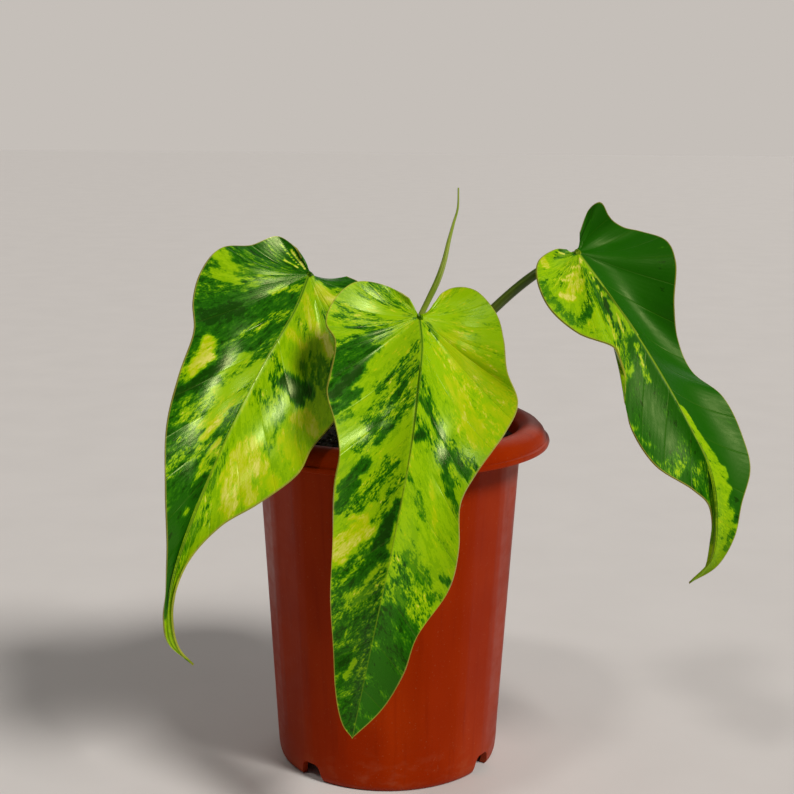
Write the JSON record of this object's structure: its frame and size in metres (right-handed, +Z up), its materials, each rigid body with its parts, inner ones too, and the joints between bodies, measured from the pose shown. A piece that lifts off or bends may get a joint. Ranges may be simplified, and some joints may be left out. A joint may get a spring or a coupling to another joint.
{
  "type": "potted variegated spadeleaf philodendron",
  "caption": "House plant in a panelled plastic nursery pot: hanging arrow-shaped leaves marbled in green, lime and cream, on arching petioles, with a new leaf still rolled up.",
  "frame": {"origin": "bottom centre of the whole plant's bounding box, on the surface that the pot stands on", "axes": "+Z up along the pot's axis, +Y from the viewer to the back, +X to the right"},
  "size_m": [0.2542, 0.1844, 0.271],
  "materials": {
    "pot_plastic": "satin",
    "potting_mix": "matte",
    "stem_tissue": "satin",
    "petiole_tissue": "satin",
    "leaf_left_blade": "satin",
    "leaf_middle_blade": "satin",
    "leaf_right_blade": "satin",
    "new_leaf_tissue": "satin"
  },
  "bodies": {
    "root": {"pot": "pot_plastic", "soil": "potting_mix", "stem": "stem_tissue", "petiole_left": "petiole_tissue", "petiole_middle": "petiole_tissue", "petiole_right": "petiole_tissue", "leaf_left": "leaf_left_blade", "leaf_middle": "leaf_middle_blade", "leaf_right": "leaf_right_blade", "new_leaf": "new_leaf_tissue"}
  },
  "joints": []
}
